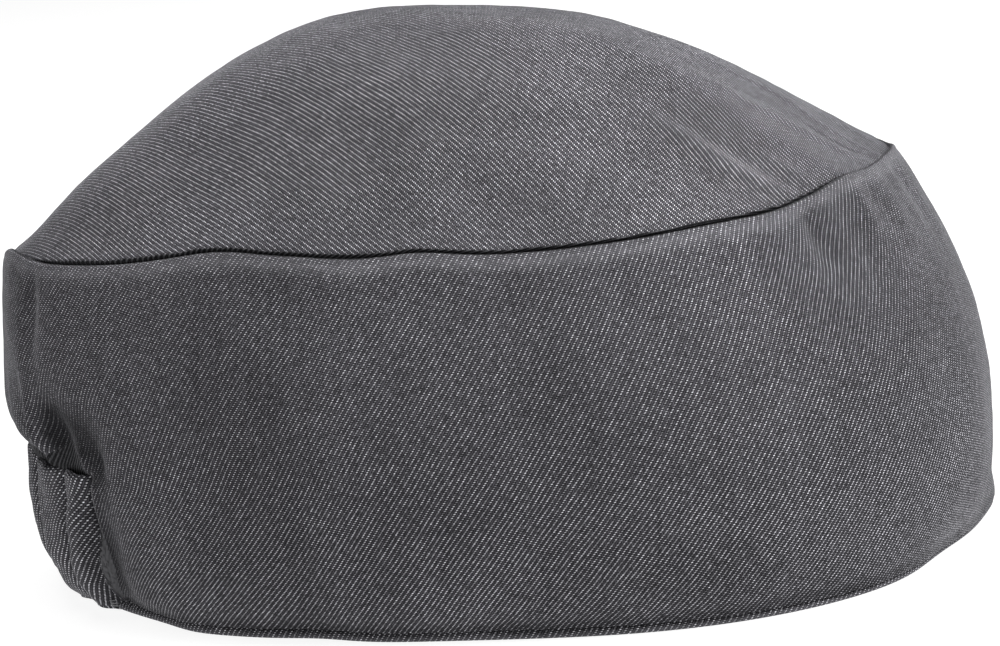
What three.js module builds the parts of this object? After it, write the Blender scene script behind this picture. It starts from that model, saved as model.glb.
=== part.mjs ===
// A soft cook's skull cap: a domed oval crown set into a tall side band, gathered on elastic at the lower back.
// Millimetres, +Z up, +X to the front of the cap. The bottom edge lies in the plane z = 0.
import * as THREE from "three";
import { mergeVertices } from "three/addons/utils/BufferGeometryUtils.js";

// Wall thicknesses, the clearance between neighbouring pieces and the clearance at the channel's ends.
const BAND_WALL = 1.8;
const CROWN_WALL = 1.6;
const CASING_WALL = 2.4;
const HEM_WALL = 2.4;
const GAP = 0.3;
const END_GAP = 0.6;

// The band by angle from the front: its radius at the bottom edge, at mid height and at the crown seam,
// and the height of its top edge.
const STATIONS = [
  { angle: 0, hem: 103.4, middle: 106.9, seam: 89.7, top: 80.6 },
  { angle: 30, hem: 98.6, middle: 104.0, seam: 89.4, top: 78.6 },
  { angle: 60, hem: 83.0, middle: 92.7, seam: 81.8, top: 76.4 },
  { angle: 90, hem: 73.2, middle: 84.9, seam: 77.3, top: 77.9 },
  { angle: 120, hem: 77.2, middle: 90.2, seam: 82.9, top: 79.3 },
  { angle: 150, hem: 87.8, middle: 101.9, seam: 97.7, top: 76.4 },
  { angle: 180, hem: 98.6, middle: 106.5, seam: 104.0, top: 74.0 },
];

// The rolled top edge of the band, which stands out just under the seam.
const LIP_OUT = 1.5;
const LIP_DROP = 3.0;

// The bottom edge: a turned strip below a stitched groove.
const HEM_HEIGHT = 2.3;
const HEM_ROUNDING = 0.5;
const GROOVE_DEPTH = 0.6;
const GROOVE_HEIGHT = 2.5;

// Slow rises and dips of the seam. Angles are from the front, and negative on the cap's right side.
const SEAM_WAVES = [
  { angle: 180, halfAngle: 22, rise: 1.2 },
  { angle: -131, halfAngle: 7, rise: -0.8 },
  { angle: -114, halfAngle: 7, rise: 1.0 },
  { angle: -94, halfAngle: 7, rise: -0.4 },
  { angle: -83, halfAngle: 6, rise: 0.9 },
  { angle: -34, halfAngle: 7, rise: -0.7 },
  { angle: -20, halfAngle: 5, rise: 1.0 },
  { angle: 24, halfAngle: 8, rise: 0.7 },
  { angle: 46, halfAngle: 9, rise: -0.6 },
  { angle: 92, halfAngle: 8, rise: 0.7 },
  { angle: 134, halfAngle: 8, rise: -0.5 },
];

// The gathered channel at the lower back: half its sweep along its top, its height and its ridges.
const CASING_HALF_ANGLE = 42;
const CASING_TOP = 34;
const RIDGE_COUNT = 15;
const RIDGE_OUT = 1.8;

// The elastic draws the bottom of the cap towards the back: by how much, and how far past the channel's ends.
const DRAWN_ANGLE = 12;
const DRAWN_SPREAD = 36;
const DRAWN_POWER = 1.5;

// How far the channel swells beyond the band's own profile, by height.
const CASING_SWELL = [
  { height: 0, out: 0.2 },
  { height: 3, out: 1.2 },
  { height: 8, out: 2.2 },
  { height: 15, out: 1.9 },
  { height: 22, out: 1.0 },
  { height: 28, out: -0.2 },
  { height: 34, out: -1.2 },
];

// Puffs (out) and hollows (in) of the band, as soft bumps: over the channel, under the front seam and
// on the sides.
const BAND_FOLDS = [
  { angle: 180, halfAngle: 30, height: 33, halfHeight: 6, out: -1.2 },
  { angle: 180, halfAngle: 24, height: 52, halfHeight: 16, out: 1.1 },
  { angle: -134, halfAngle: 2.4, height: 38, halfHeight: 5, out: -1.2 },
  { angle: -138.5, halfAngle: 2.6, height: 41, halfHeight: 7, out: 1.3 },
  { angle: -143, halfAngle: 2.8, height: 43, halfHeight: 8, out: -2.4 },
  { angle: -149, halfAngle: 2.6, height: 40, halfHeight: 10, out: 1.4 },
  { angle: -155, halfAngle: 2.8, height: 41, halfHeight: 11, out: -1.8 },
  { angle: -162, halfAngle: 3.0, height: 42, halfHeight: 13, out: 1.3 },
  { angle: -169, halfAngle: 3.0, height: 40, halfHeight: 10, out: -1.9 },
  { angle: -176, halfAngle: 3.0, height: 43, halfHeight: 13, out: 1.3 },
  { angle: 177, halfAngle: 2.8, height: 41, halfHeight: 11, out: -2.0 },
  { angle: 170, halfAngle: 3.0, height: 43, halfHeight: 13, out: 1.4 },
  { angle: 163, halfAngle: 3.0, height: 41, halfHeight: 11, out: -1.8 },
  { angle: 156, halfAngle: 3.0, height: 42, halfHeight: 12, out: 1.3 },
  { angle: 149, halfAngle: 2.8, height: 42, halfHeight: 10, out: -2.2 },
  { angle: 142, halfAngle: 2.8, height: 42, halfHeight: 9, out: 1.3 },
  { angle: 136, halfAngle: 2.6, height: 40, halfHeight: 7, out: -1.4 },
  { angle: -146, halfAngle: 2.4, height: 68, halfHeight: 12, out: -1.1 },
  { angle: 150, halfAngle: 3.0, height: 66, halfHeight: 12, out: -1.0 },
  { angle: -31, halfAngle: 3.4, height: 72, halfHeight: 8, out: -1.1 },
  { angle: -23, halfAngle: 3.0, height: 74, halfHeight: 6, out: -0.9 },
  { angle: -3, halfAngle: 3.4, height: 74, halfHeight: 8, out: -0.9 },
  { angle: 13, halfAngle: 3.4, height: 74, halfHeight: 8, out: -0.9 },
  { angle: 33, halfAngle: 3.6, height: 72, halfHeight: 8, out: -1.0 },
  { angle: -115, halfAngle: 9, height: 50, halfHeight: 22, out: -1.0 },
  { angle: 112, halfAngle: 10, height: 48, halfHeight: 22, out: -1.0 },
];

// The crown: its highest point, and how full its slopes are: on average, to the front, at both ends, in
// thirds of a turn, and near its edge.
const APEX = { x: -16.2, height: 119.5 };
const DOME = { even: 0.153, front: 0.157, ends: -0.093, thirds: 0.069, edge: -0.529, frontEdge: -0.144 };

// Soft creases of the crown, by angle: where they start and end as a share of the way out to the seam.
const CROWN_CREASES = [
  { angle: -6, halfAngle: 3.2, inner: 0.76, outer: 1.0, out: 0.8 },
  { angle: -16, halfAngle: 3.2, inner: 0.78, outer: 1.0, out: 0.8 },
  { angle: -31, halfAngle: 3.6, inner: 0.8, outer: 1.0, out: 0.7 },
  { angle: 9, halfAngle: 3.4, inner: 0.78, outer: 1.0, out: 0.7 },
  { angle: 27, halfAngle: 3.8, inner: 0.78, outer: 1.0, out: 0.8 },
  { angle: -84, halfAngle: 9, inner: 0.7, outer: 1.1, out: -0.9 },
];

// How finely each piece is divided.
const SIDE_COLUMNS = 40;
const BACK_COLUMNS = 40;
const LOWER_ROWS = 4;
const UPPER_SHARES = [0, 0.16, 0.36, 0.58, 0.78, 0.9, 0.96, 1];
const CROWN_COLUMNS = 90;
const CROWN_SHARES = [1, 0.975, 0.92, 0.83, 0.7, 0.55, 0.38, 0.2, 0];
const CASING_STEPS_PER_RIDGE = 4;
const CASING_ROWS = 7;
const HEM_COLUMNS = 84;

const FULL_TURN = 2 * Math.PI;
const radians = THREE.MathUtils.degToRad;
const CHANNEL_END = radians(CASING_HALF_ANGLE);

// The smallest signed difference between two angles.
function turnBetween(angle, other) {
  const difference = angle - other;
  return difference - FULL_TURN * Math.round(difference / FULL_TURN);
}

// A bump of height 1 at distance 0 that falls off smoothly past distance 1.
function bump(distance) {
  return Math.exp(-distance * distance);
}

// The smooth even curve round the cap through values at equal steps from the front to the back.
function cosineCurve(values) {
  const last = values.length - 1;
  const endShare = (index) => (index === 0 || index === last ? 0.5 : 1);
  const weights = values.map((_, order) => {
    const terms = values.map((value, step) => {
      return endShare(step) * value * Math.cos((Math.PI * order * step) / last);
    });
    const sum = terms.reduce((total, term) => total + term, 0);
    return (2 / last) * endShare(order) * sum;
  });
  return (angle) => {
    return weights.reduce((total, weight, order) => total + weight * Math.cos(order * angle), 0);
  };
}

const hemRadius = cosineCurve(STATIONS.map((station) => station.hem));
const middleRadius = cosineCurve(STATIONS.map((station) => station.middle));
const seamRadius = cosineCurve(STATIONS.map((station) => station.seam));
const evenTop = cosineCurve(STATIONS.map((station) => station.top));

function seamHeight(angle) {
  return SEAM_WAVES.reduce((height, wave) => {
    const distance = turnBetween(angle, radians(wave.angle)) / radians(wave.halfAngle);
    return height + wave.rise * bump(distance);
  }, evenTop(angle));
}

// The band's smooth profile, before its folds.
function plainRadius(angle, height) {
  const top = seamHeight(angle);
  const share = height / top;
  const hem = hemRadius(angle);
  const seam = seamRadius(angle);
  const bulge = middleRadius(angle) - (hem + seam) / 2;
  const drop = (top - height) / LIP_DROP;
  const lip = LIP_OUT * drop * Math.exp(1 - drop);
  return hem * (1 - share) + seam * share + 4 * share * (1 - share) * bulge + lip;
}

// Where the cloth at an angle ends up once the elastic draws it towards the back.
function drawnAngle(angle, height) {
  const fromBack = turnBetween(angle, Math.PI);
  const past = (Math.abs(fromBack) - CHANNEL_END) / radians(DRAWN_SPREAD);
  const share = past < 0 ? Math.abs(fromBack) / CHANNEL_END : bump(past);
  const slack = Math.max(0, 1 - height / CASING_TOP) ** DRAWN_POWER;
  return angle - Math.sign(fromBack) * radians(DRAWN_ANGLE) * share * slack;
}

function bandRadius(angle, height) {
  const folds = BAND_FOLDS.reduce((total, fold) => {
    const across = turnBetween(angle, radians(fold.angle)) / radians(fold.halfAngle);
    const along = (height - fold.height) / fold.halfHeight;
    return total + fold.out * bump(across) * bump(along);
  }, 0);
  const fade = Math.min(1, (seamHeight(angle) - height) / LIP_DROP);
  const groove = GROOVE_DEPTH * bump((height - HEM_HEIGHT) / GROOVE_HEIGHT);
  return plainRadius(angle, height) + folds * fade - groove;
}

function casingSwell(height) {
  const upper = CASING_SWELL.findIndex((row) => row.height >= height);
  const above = CASING_SWELL[Math.max(upper, 1)];
  const below = CASING_SWELL[Math.max(upper, 1) - 1];
  const share = (height - below.height) / (above.height - below.height);
  return below.out + (above.out - below.out) * share;
}

// The channel's gathers: round ridges with sharp grooves between them.
function ridge(angle) {
  const across = (turnBetween(angle, Math.PI) * RIDGE_COUNT) / (2 * CHANNEL_END);
  return RIDGE_OUT * (Math.abs(Math.cos(Math.PI * across)) - 0.5);
}

// A point on the crown: share 0 is the highest point and share 1 is on the seam.
function crownPoint(angle, share) {
  const rim = seamRadius(angle);
  const x = APEX.x + (rim * Math.cos(angle) - APEX.x) * share;
  const y = rim * Math.sin(angle) * share;
  const square = share * share;
  const wide = DOME.even + DOME.front * Math.cos(angle) + DOME.ends * Math.cos(2 * angle);
  const fullness = wide + DOME.thirds * Math.cos(3 * angle);
  const edge = DOME.edge + DOME.frontEdge * Math.cos(angle);
  const rise = (1 - square) * (1 + fullness * square + edge * square * square);
  const rimHeight = seamHeight(angle) + GAP + CROWN_WALL;
  const creases = CROWN_CREASES.reduce((total, crease) => {
    const across = turnBetween(angle, radians(crease.angle)) / radians(crease.halfAngle);
    const middle = (crease.inner + crease.outer) / 2;
    const along = (share - middle) / ((crease.outer - crease.inner) / 2);
    return total + crease.out * bump(across) * bump(along);
  }, 0);
  const height = rimHeight + (APEX.height - rimHeight) * rise + creases * Math.min(1, 8 * (1 - share));
  return new THREE.Vector3(x, y, height);
}

function around(angle, radius, height) {
  return new THREE.Vector3(radius * Math.cos(angle), radius * Math.sin(angle), height);
}

// One closed wall from a grid of cells that are numbered anticlockwise and upwards. outer and inner give
// the grid's corner points, wraps says that the last column meets the first, and cutOut names the cells
// that are left away.
function wallGeometry({ columns, rows, wraps, outer, inner, cutOut = () => false }) {
  const corners = [];
  const addTriangle = (a, b, c) => {
    if (!a.equals(b) && !b.equals(c) && !c.equals(a)) corners.push(a, b, c);
  };
  const addQuad = (a, b, c, d) => {
    addTriangle(a, b, c);
    addTriangle(a, c, d);
  };
  const isPresent = (column, row) => {
    if (row < 0 || row >= rows) return false;
    if (!wraps && (column < 0 || column >= columns)) return false;
    return !cutOut((column + columns) % columns, row);
  };
  const outside = (column, row) => outer(wraps ? column % columns : column, row);
  const inside = (column, row) => inner(wraps ? column % columns : column, row);
  const addEdge = (fromColumn, fromRow, toColumn, toRow) => {
    const from = [fromColumn, fromRow];
    const to = [toColumn, toRow];
    addQuad(outside(...to), outside(...from), inside(...from), inside(...to));
  };
  for (let column = 0; column < columns; column += 1) {
    for (let row = 0; row < rows; row += 1) {
      if (!isPresent(column, row)) continue;
      const ring = [[column, row], [column + 1, row], [column + 1, row + 1], [column, row + 1]];
      addQuad(...ring.map((corner) => outside(...corner)));
      addQuad(...ring.map((corner) => inside(...corner)).reverse());
      if (!isPresent(column, row - 1)) addEdge(...ring[0], ...ring[1]);
      if (!isPresent(column + 1, row)) addEdge(...ring[1], ...ring[2]);
      if (!isPresent(column, row + 1)) addEdge(...ring[2], ...ring[3]);
      if (!isPresent(column - 1, row)) addEdge(...ring[3], ...ring[0]);
    }
  }
  const loose = new THREE.BufferGeometry().setFromPoints(corners);
  const geometry = mergeVertices(loose, 1e-4);
  geometry.computeVertexNormals();
  return geometry;
}

function makePiece(name, geometry, colour) {
  const material = new THREE.MeshStandardMaterial({ color: colour, roughness: 0.95, metalness: 0 });
  const mesh = new THREE.Mesh(geometry, material);
  mesh.name = name;
  return mesh;
}

// The band's columns, finer over the channel than on the sides and at the front.
function bandAngle(column) {
  const side = Math.PI - CHANNEL_END;
  if (column <= SIDE_COLUMNS) return (side * column) / SIDE_COLUMNS;
  const past = column - SIDE_COLUMNS;
  if (past <= BACK_COLUMNS) return side + (2 * CHANNEL_END * past) / BACK_COLUMNS;
  return Math.PI + CHANNEL_END + (side * (past - BACK_COLUMNS)) / SIDE_COLUMNS;
}

// The band: low rows up to the channel's top that leave the channel's place free, and rows from there
// to the seam.
function makeSideBand() {
  const columns = 2 * SIDE_COLUMNS + BACK_COLUMNS;
  const rows = LOWER_ROWS + UPPER_SHARES.length - 1;
  const bottom = HEM_HEIGHT + GAP;
  const notch = CASING_TOP + GAP / 2;
  const heightAt = (angle, row) => {
    if (row < LOWER_ROWS) return bottom + ((notch - bottom) * row) / LOWER_ROWS;
    return notch + (seamHeight(angle) - notch) * UPPER_SHARES[row - LOWER_ROWS];
  };
  const pointAt = (wall) => (column, row) => {
    const height = heightAt(bandAngle(column), row);
    const angle = drawnAngle(bandAngle(column), height);
    return around(angle, bandRadius(angle, height) - wall, height);
  };
  const cutOut = (column, row) => {
    return row < LOWER_ROWS && column >= SIDE_COLUMNS && column < SIDE_COLUMNS + BACK_COLUMNS;
  };
  const shape = { columns, rows, wraps: true, outer: pointAt(0), inner: pointAt(BAND_WALL), cutOut };
  return makePiece("side_band", wallGeometry(shape), 0x4d4c51);
}

// The crown: a lid whose edge stands on the band's top, a gap above it.
function makeCrownPanel() {
  const pointAt = (wall) => (column, row) => {
    const point = crownPoint((FULL_TURN * column) / CROWN_COLUMNS, CROWN_SHARES[row]);
    return point.setZ(point.z - wall);
  };
  const rows = CROWN_SHARES.length - 1;
  const shape = { columns: CROWN_COLUMNS, rows, wraps: true, outer: pointAt(0), inner: pointAt(CROWN_WALL) };
  return makePiece("crown_panel", wallGeometry(shape), 0x646368);
}

// The gathered channel, which fills its place in the band with a gap at both ends and on top.
function makeElasticCasing() {
  const columns = RIDGE_COUNT * CASING_STEPS_PER_RIDGE;
  const halfAngle = CHANNEL_END - END_GAP / hemRadius(Math.PI);
  const top = CASING_TOP - GAP / 2;
  const pointAt = (wall, isGathered) => (column, row) => {
    const flat = Math.PI - halfAngle + (2 * halfAngle * column) / columns;
    const height = (top * row) / CASING_ROWS;
    const angle = drawnAngle(flat, height);
    const smooth = plainRadius(angle, height) + casingSwell(height);
    return around(angle, smooth + (isGathered ? ridge(flat) : 0) - wall, height);
  };
  const outer = pointAt(0, true);
  const inner = pointAt(CASING_WALL, false);
  const shape = { columns, rows: CASING_ROWS, wraps: false, outer, inner };
  return makePiece("elastic_casing", wallGeometry(shape), 0x5a595e);
}

// The turned bottom edge, from one end of the channel round the front to the other.
function makeEdgeHem() {
  const side = Math.PI - CHANNEL_END;
  const heights = [0, HEM_ROUNDING, HEM_HEIGHT - HEM_ROUNDING, HEM_HEIGHT];
  const rows = heights.length - 1;
  const pointAt = (inset) => (column, row) => {
    const flat = -side + (2 * side * column) / HEM_COLUMNS;
    const angle = drawnAngle(flat, heights[row]);
    return around(angle, hemRadius(angle) - inset(row), heights[row]);
  };
  const outer = pointAt((row) => (row === 0 || row === rows ? HEM_ROUNDING : 0));
  const inner = pointAt(() => HEM_WALL);
  const shape = { columns: HEM_COLUMNS, rows, wraps: false, outer, inner };
  return makePiece("edge_hem", wallGeometry(shape), 0x47464b);
}

const cap = new THREE.Group();
cap.name = "chef_skull_cap";
cap.add(makeCrownPanel(), makeSideBand(), makeElasticCasing(), makeEdgeHem());

// The origin is under the middle of the cap, on the surface that it rests on.
const box = new THREE.Box3().setFromObject(cap);
const middle = box.getCenter(new THREE.Vector3());
cap.position.set(-middle.x, -middle.y, -box.min.z);

export default cap;
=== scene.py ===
# The looks of a soft cook's skull cap in charcoal twill. Sizes are millimetres until a mesh is made.
import math

import bpy
import numpy as np
from mathutils import Matrix, Vector


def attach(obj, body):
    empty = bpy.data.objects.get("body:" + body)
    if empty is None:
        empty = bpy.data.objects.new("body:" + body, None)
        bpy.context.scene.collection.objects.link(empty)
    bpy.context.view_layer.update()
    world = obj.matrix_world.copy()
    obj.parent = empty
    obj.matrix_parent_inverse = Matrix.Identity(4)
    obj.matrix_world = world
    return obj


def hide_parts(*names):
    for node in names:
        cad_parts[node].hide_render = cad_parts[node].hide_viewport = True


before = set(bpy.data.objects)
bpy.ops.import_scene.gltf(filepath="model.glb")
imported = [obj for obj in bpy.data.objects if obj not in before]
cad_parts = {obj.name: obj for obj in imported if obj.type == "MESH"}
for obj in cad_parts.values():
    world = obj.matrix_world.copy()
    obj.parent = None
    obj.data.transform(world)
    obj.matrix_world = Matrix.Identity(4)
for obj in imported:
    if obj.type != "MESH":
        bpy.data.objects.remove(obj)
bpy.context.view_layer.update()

MM = 0.001
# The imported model's middle lies this far along X from the middle that the tables below are measured from.
SHIFT_X = 0.26


# The cap's form, as tables.

# The band's radius at the bottom, at mid height and at the seam, and its height: every 30 degrees from the
# front round to the back.
HEM = [103.4, 98.6, 83.0, 73.2, 77.2, 87.8, 98.6]
MIDDLE = [106.9, 104.0, 92.7, 84.9, 90.2, 101.9, 106.5]
SEAM = [90.5, 89.4, 81.8, 77.3, 82.9, 97.7, 103.3]
TOP = [81.2, 79.2, 77.0, 78.5, 79.9, 77.0, 74.6]

# Slow rises and dips of the seam: angle, half angle, rise.
SEAM_WAVES = [
    (180, 12, 0.6),
    (-156, 8, 3.0),
    (-131, 9, -0.6),
    (-114, 7, 1.0),
    (-94, 7, -0.4),
    (-83, 6, 0.9),
    (-34, 7, -0.7),
    (-20, 5, 1.0),
    (17, 7, -1.0),
    (46, 9, -0.6),
    (92, 8, 0.7),
    (134, 8, -0.5),
]

# The rolled edge of the band: its swell just under the seam, how far down that is, and the roll's radius.
LIP_OUT = 0.6
LIP_DROP = 2.6
EDGE_ROUND = 1.0

# How the bottom edge swings in and out: angle, half angle, out; and how fast that fades upwards.
FLARES = [(-13, 9, -2.6), (13, 9, 4.2), (-130, 7, 1.5), (-109, 8, -2.0)]
FLARE_HEIGHT = 9.0

# The gathered channel at the lower back. The elastic in it draws the cloth round by an angle, most at the
# bottom, and a little past the channel's ends.
CHANNEL_HALF_ANGLE = math.radians(42)
CHANNEL_TOP = 34
DRAWN_ANGLE = math.radians(12)
DRAWN_SPREAD = math.radians(36)
DRAWN_POWER = 1.5

# The channel's swell beyond the band's own profile: height, out.
SWELL_HEIGHTS = [0, 3, 8, 15, 22, 28, 34]
SWELL_OUT = [0.2, 1.8, 2.8, 2.2, 0.6, -1.2, -2.6]

# The channel's ridges: how many there are, how much wider they are towards the middle, how much they differ
# in height, how broad their backs are, and their middle level.
RIDGE_COUNT = 15
RIDGE_CROWDING = 0.15
RIDGE_UNEVENNESS = 0.22
RIDGE_UNEVEN_STEP = 2.4
RIDGE_BROADNESS = 0.8
RIDGE_LEVEL = 0.55
# How the ridges wander sideways: share of a ridge, height to turn over, turns by angle.
RIDGE_WANDERS = [(0.10, 7.0, 9), (0.07, 3.7, 23)]
# Grooves that are nearly closed, where two gathers run together: angle, half angle, fill.
RIDGE_FILLS = [(-150.6, 1.6, 0.7), (169, 1.5, 0.6), (147, 1.5, 0.5)]

# Puffs and hollows of the band: angle, half angle, height, half height, out.
BAND_FOLDS = [
    (180, 30, 35, 8, -1.9),
    (180, 24, 52, 16, -0.2),
    (-135.5, 1.3, 38.5, 2.6, -0.9),
    (-138, 6.0, 42, 9, -2.6),
    (-139.4, 1.2, 37, 2.4, 0.9),
    (-144, 2.9, 41.5, 7.5, -3.8),
    (-149, 1.3, 41, 8, 2.0),
    (-150.5, 1.8, 40, 8, -2.0),
    (-156, 2.4, 41, 11, 1.0),
    (-162, 2.8, 42, 13, 1.3),
    (-169, 2.6, 40, 10, -2.0),
    (-176, 2.8, 43, 13, 1.3),
    (177, 2.6, 41, 11, -2.0),
    (170, 2.8, 43, 13, 1.4),
    (163, 2.6, 41, 11, -1.8),
    (156, 2.8, 42, 12, 1.3),
    (149, 2.4, 42, 10, -2.3),
    (142, 2.4, 42, 9, 1.3),
    (136, 2.2, 40, 7, -1.4),
    (-146, 1.8, 68, 12, -1.1),
    (150, 2.4, 66, 12, -1.0),
    (-137, 4.2, 15, 17, -2.6),
    (134, 3, 14, 16, -2.4),
    (-36, 2.2, 74, 5, 0.4),
    (-29, 2.4, 72, 6.5, -2.0),
    (-20, 2, 74, 5, 0.8),
    (-12, 2.4, 75, 8, 0.6),
    (-3, 2.6, 73, 9, -0.9),
    (13, 2.8, 74, 8, -0.9),
    (33, 3, 72, 8, -1.0),
    (-115, 9, 50, 22, -1.0),
    (112, 10, 48, 22, -1.0),
]

# Small gathers that hang from the seam: seed, count, depth; then how far they stray, their half angles, how
# far down they reach and how strong they are.
BAND_PUCKERS = (11, 64, 0.42)
CROWN_PUCKERS = (31, 44, 0.22)
PUCKER_STRAY = 0.35
PUCKER_HALF_ANGLES = (1.0, 2.1)
PUCKER_REACHES = (4, 13)
PUCKER_STRENGTHS = (0.15, 1.0)

# Soft unevenness of the cloth: height, seed, wavelength.
BAND_UNEVENNESS = [(0.34, 3, 46), (0.16, 4, 19), (0.05, 5, 7)]
CROWN_UNEVENNESS = [(0.40, 21, 52), (0.15, 22, 20), (0.05, 23, 7)]

# Where the band dips in over the channel's top: depth, height, half height; and the angle over which it ends.
CHANNEL_DIP = (2.2, CHANNEL_TOP + 1.5, 2.8)
CHANNEL_DIP_END = math.radians(2.4)

# The crown: its highest point, the fullness of its slopes and of its edge as waves of the angle, and its rise
# above the seam.
APEX_X = -16.2
APEX_HEIGHT = 119.5
DOME_WAVES = [0.175, 0.157, -0.010, 0.069]
DOME_EDGE_WAVES = [-0.529, -0.144]
CROWN_LIFT = 0.85
CROWN_GAP = 0.3
BACK_FULLNESS = -0.3
BACK_HALF_ANGLE = 52

# Where the crown's edge is tucked under the band's lip: angle, half angle, in, down.
CROWN_TUCKS = [(0, 17, 0.2, 2.2), (180, 26, 0.8, 0.2), (-156, 9, 1.2, 2.4)]

# Broad swells and dips of the crown: angle, half angle, share, half share, up.
CROWN_SWELLS = [(0, 17, 0.93, 0.08, -0.8), (180, 52, 0.84, 0.12, 1.6), (38, 30, 0.80, 0.18, 0.9)]

# Soft creases of the crown: start angle and share, end angle and share, half width, out.
CROWN_CREASES = [
    (-14, 0.78, -7, 1.0, 1.8, 1.0),
    (-6, 0.84, -3, 1.0, 1.3, -0.6),
    (1, 0.66, 0, 1.0, 1.9, 0.8),
    (-35, 0.76, -30, 1.0, 2.2, 1.0),
    (-26, 0.90, -25, 1.0, 1.8, 0.6),
    (8, 0.82, 9, 1.0, 1.6, 0.7),
    (27, 0.82, 25, 1.0, 1.8, 0.7),
    (-83, 0.90, -81, 1.0, 5.0, -0.7),
]
# A crease's half length is its length over this number. Creases and unevenness fade towards the rim.
CREASE_ENDS = 1.5
CREASE_FADE = 12
CREASE_FADE_END = 1.02
RIM_FADE = 6
RIM_FADE_LEAST = 0.15

# Thicknesses.
BAND_WALL = 1.7
CROWN_WALL = 1.5
CHANNEL_WALL = 2.4
HEM_WALL = 2.4

# The hem's height, how much of it is lost at the front, and the groove over it: its depth where the hem is
# full, less what it loses with the hem, and its half height.
HEM_HEIGHT = 2.5
HEM_FRONT_LOSS = 0.45
HEM_FRONT_HALF_ANGLE = 48
GROOVE_BY_HEM = 1.9
GROOVE_LESS = 1.1
GROOVE_HALF = 2.2

# The cloth: how far apart its yarns are along and across, and the slant of the band's cut.
END_PITCH = 0.305
PICK_PITCH = 0.40
BAND_SKEW = math.radians(4.6)


# Small helpers.


def turn(angle, other):
    """The angle from one direction to another, the short way round."""
    difference = angle - other
    return difference - 2 * np.pi * np.round(difference / (2 * np.pi))


def from_back(angle):
    return np.abs(turn(angle, math.pi))


def bump(distance):
    return np.exp(-distance * distance)


def peak(place, height, centre, half):
    """A bump of a given height, centre and half width."""
    return height * bump((place - centre) / half)


def angle_bump(angle, centre, half):
    """A bump of the angle, with its centre and its half width in degrees."""
    return bump(turn(angle, math.radians(centre)) / math.radians(half))


def wave_sum(weights, angle):
    return sum(weight * np.cos(order * angle) for order, weight in enumerate(weights))


def cosine_curve(values):
    """A smooth curve of the angle, the same on both sides, through values from the front to the back."""
    last = len(values) - 1
    ends = [0.5 if index in (0, last) else 1 for index in range(last + 1)]
    weights = []
    for order in range(last + 1):
        terms = [ends[i] * value * math.cos(math.pi * order * i / last) for i, value in enumerate(values)]
        weights.append(2 / last * ends[order] * sum(terms))
    return lambda angle: wave_sum(weights, angle)


hem_radius = cosine_curve(HEM)
middle_radius = cosine_curve(MIDDLE)
seam_radius = cosine_curve(SEAM)
even_top = cosine_curve(TOP)


def soft_noise(points, seed, wavelength, count=28):
    """Smooth uneven relief of about unit height at points, from slanted waves of about that wavelength."""
    rng = np.random.default_rng(seed)
    total = np.zeros(points.shape[:-1])
    for _ in range(count):
        direction = rng.normal(size=3)
        direction /= np.linalg.norm(direction)
        length = wavelength * rng.uniform(0.7, 1.5)
        total += np.cos(points @ direction * 2 * np.pi / length + rng.uniform(0, 2 * np.pi))
    return total / math.sqrt(count)


def unevenness(points, layers):
    return sum(height * soft_noise(points, seed, wavelength) for height, seed, wavelength in layers)


def around(angle, radius, height):
    """Points at an angle and a radius about the upright axis, for any arrays that fit each other."""
    angle, radius, height = np.broadcast_arrays(angle, radius, height)
    return np.stack([radius * np.cos(angle), radius * np.sin(angle), height], -1)


def path_length(points, axis):
    """Distance run along one axis of a grid of points, starting from 0."""
    steps = np.linalg.norm(np.diff(points, axis=axis), axis=-1)
    start = np.zeros_like(np.take(steps, [0], axis=axis))
    return np.concatenate([start, np.cumsum(steps, axis=axis)], axis=axis)


def spread_rows(count, power_low, power_high):
    """Shares from 0 to 1 that lie closer together towards both ends."""
    even = np.linspace(0, 1, count)
    low = even**power_low
    high = 1 - (1 - even) ** power_high
    return (low * (1 - even) + high * even)[None, :]


# The band's surface.


def seam_height(angle):
    height = even_top(angle)
    for centre, half, rise in SEAM_WAVES:
        height = height + rise * angle_bump(angle, centre, half)
    return height


def drawn_angle(flat, height):
    """Where the cloth at an angle ends up once the elastic draws it towards the back."""
    side = turn(flat, math.pi)
    past = (np.abs(side) - CHANNEL_HALF_ANGLE) / DRAWN_SPREAD
    share = np.where(past < 0, np.abs(side) / CHANNEL_HALF_ANGLE, bump(np.maximum(past, 0)))
    slack = np.maximum(0, 1 - height / CHANNEL_TOP) ** DRAWN_POWER
    return flat - np.sign(side) * DRAWN_ANGLE * share * slack


def flare(angle, height):
    total = 0 * angle
    for centre, half, out in FLARES:
        total = total + out * angle_bump(angle, centre, half)
    return total * bump(height / FLARE_HEIGHT)


def hem_share(angle):
    """The hem's height as a share of its full height: it is narrower at the front."""
    return 1 - HEM_FRONT_LOSS * angle_bump(angle, 0, HEM_FRONT_HALF_ANGLE)


def plain_radius(angle, height):
    """The band without its folds: a bulge from the bottom edge to the seam, and the lip under it."""
    top = seam_height(angle)
    share = height / top
    hem = hem_radius(angle) + flare(angle, height)
    seam = seam_radius(angle)
    bulge = middle_radius(angle) - (hem + seam) / 2
    drop = (top - height) / LIP_DROP
    lip = LIP_OUT * drop * np.exp(1 - drop)
    return hem * (1 - share) + seam * share + 4 * share * (1 - share) * bulge + lip


def pucker_field(angle, below, seed, count, depth):
    """Small upright gathers that hang from the seam, all the way round."""
    rng = np.random.default_rng(seed)
    total = 0 * angle
    for index in range(count):
        centre = 2 * math.pi * (index + rng.uniform(-PUCKER_STRAY, PUCKER_STRAY)) / count
        half = math.radians(rng.uniform(*PUCKER_HALF_ANGLES))
        reach = rng.uniform(*PUCKER_REACHES)
        strength = depth * rng.uniform(*PUCKER_STRENGTHS)
        total = total - strength * bump(turn(angle, centre) / half) * np.exp(-below / reach)
    return total


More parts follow.
